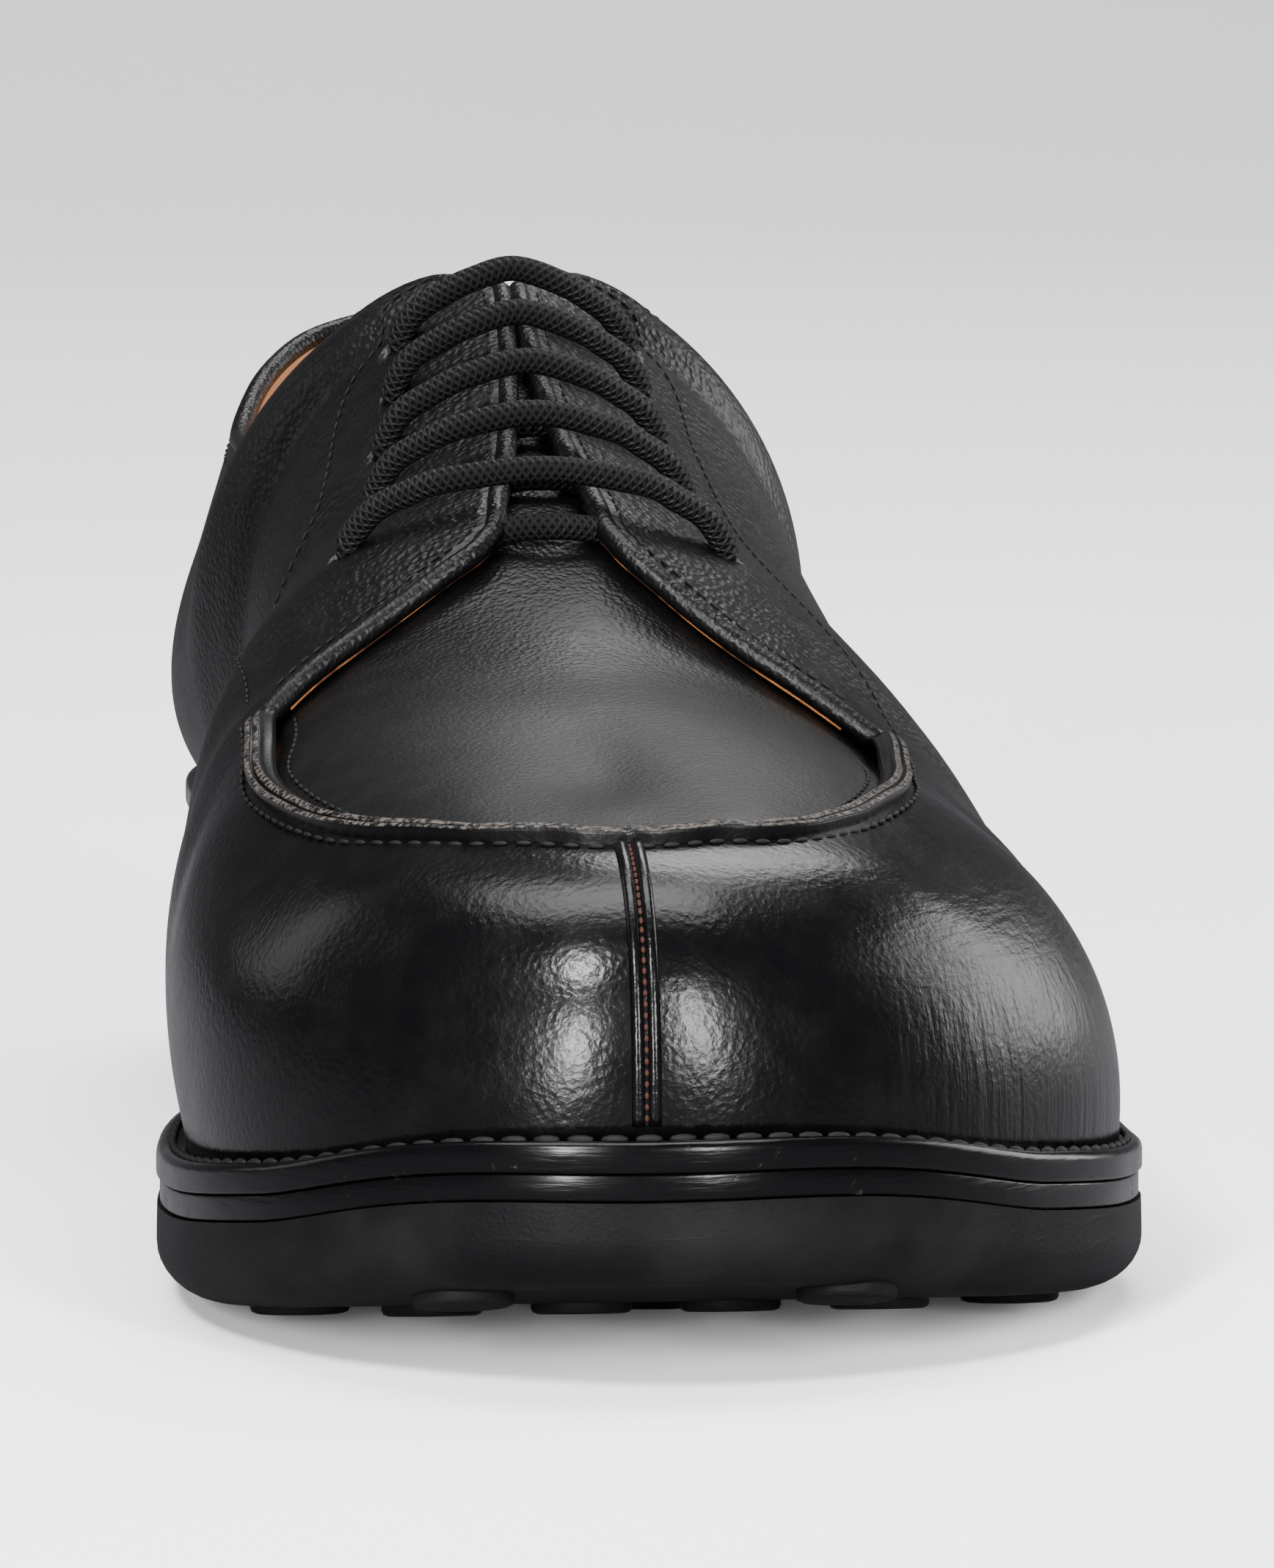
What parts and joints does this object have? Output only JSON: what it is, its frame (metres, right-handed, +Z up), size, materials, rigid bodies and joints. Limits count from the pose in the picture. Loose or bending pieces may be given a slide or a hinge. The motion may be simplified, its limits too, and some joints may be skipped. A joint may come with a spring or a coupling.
{
  "type": "split toe derby shoe",
  "caption": "Left black leather derby with open lacing, a raised apron seam, a split toe seam and a welted, studded rubber sole on a stacked heel.",
  "frame": {"origin": "centre of the bounding box on the floor, under the middle of the shoe", "axes": "-Y is the way the toe points, +Y the heel, -X the medial side, +X the lateral side, +Z up"},
  "size_m": [0.1109, 0.302, 0.1092],
  "materials": {
    "rubber": "matt black rubber",
    "edge_leather": "black dressed and waxed sole edge",
    "calf": "black polished calf with a fine grain",
    "tan_leather": "plain tan leather",
    "braid": "round waxed black braid"
  },
  "bodies": {
    "root": {"outsole": "rubber", "midsole": "edge_leather", "welt": "edge_leather", "insole": "tan_leather", "heel_stack": "edge_leather", "heel_top_piece": "rubber", "upper": "calf", "tongue": "calf", "lace_row_1": "braid", "lace_row_2": "braid", "lace_row_3": "braid", "lace_row_4": "braid", "lace_row_5": "braid"}
  },
  "joints": []
}
